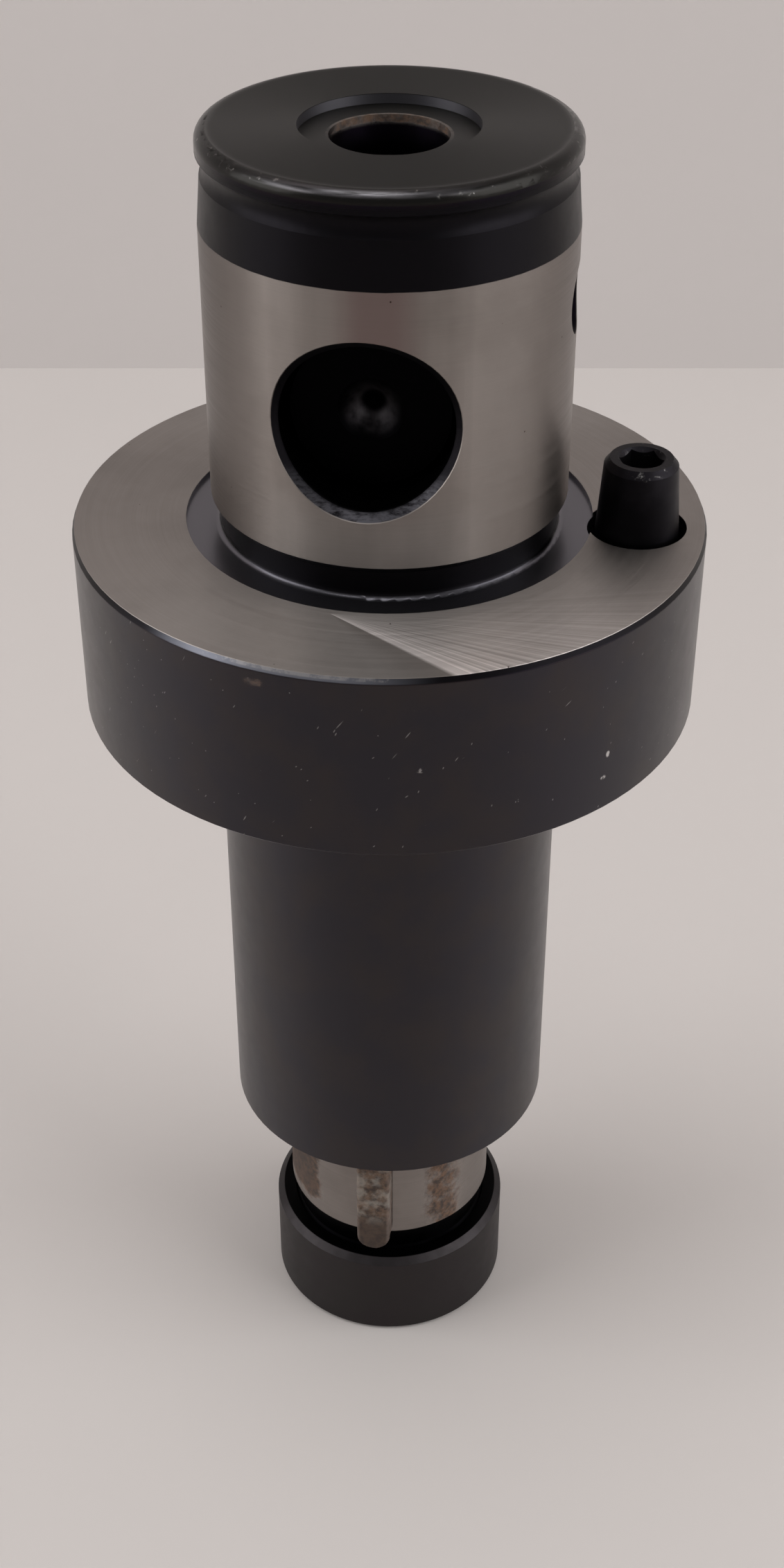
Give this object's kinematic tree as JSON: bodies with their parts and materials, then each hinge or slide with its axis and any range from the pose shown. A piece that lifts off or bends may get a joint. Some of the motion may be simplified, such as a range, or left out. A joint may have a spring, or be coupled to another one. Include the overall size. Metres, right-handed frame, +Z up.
{
  "type": "collet chuck holder",
  "caption": "Round tool holder with a ground pilot and flange coupling, and a keyed spindle that floats in its barrel and holds a tool in a collet under a nose ring.",
  "frame": {"origin": "centre of the nose ring's lower face, where the holder stands", "axes": "+Z up the holder's axis to the pilot's top; the cross bore and the feather key face -Y; the drive pin stands at +X"},
  "size_m": [0.05, 0.05, 0.1151],
  "materials": {
    "black_steel": "black oxide with ground pilot and flange face",
    "pin_steel": "black oxide",
    "ring_steel": "turned, oiled",
    "spring_steel": "drawn spring steel",
    "ground_steel": "ground, with light rust stains",
    "key_steel": "ground, rusted on its outer face",
    "collet_steel": "ground",
    "nut_steel": "black oxide, satin"
  },
  "bodies": {
    "holder": {"holder_body": "black_steel", "drive_pin": "pin_steel", "retaining_screw": "pin_steel", "stop_ring": "ring_steel", "circlip": "spring_steel", "lower_spring": "spring_steel", "upper_spring": "spring_steel"},
    "thrust": {"thrust_pin": "pin_steel"},
    "spindle": {"floating_spindle": "ground_steel", "feather_key": "key_steel", "tie_bolt": "pin_steel", "spring_washer": "ring_steel", "stop_screw": "pin_steel"},
    "collet": {"collet": "collet_steel"},
    "nut": {"collet_nut": "nut_steel"}
  },
  "joints": [
    {"name": "thrust_pin_slide", "type": "slide", "parent": "holder", "child": "thrust", "axis": [0, 1, 0], "range_m": [-0.001, 0.001]},
    {"name": "spindle_float", "type": "slide", "parent": "holder", "child": "spindle", "axis": [0, 0, 1], "range_m": [-0.0035, 0.005], "stiffness_N_per_m": 12000, "deforming": ["lower_spring", "upper_spring"]},
    {"name": "collet_draw", "type": "slide", "parent": "spindle", "child": "collet", "axis": [0, 0, 1], "range_m": [-0.002, 0]},
    {"name": "nut_turn", "type": "hinge", "parent": "collet", "child": "nut", "pos_m": [0, 0, 0.005], "axis": [0, 0, 1], "range_deg": [-720, 0]}
  ],
  "couplings": [
    {"joint": "nut_turn", "follows": "collet_draw", "rad_per_m": 6283.2}
  ]
}
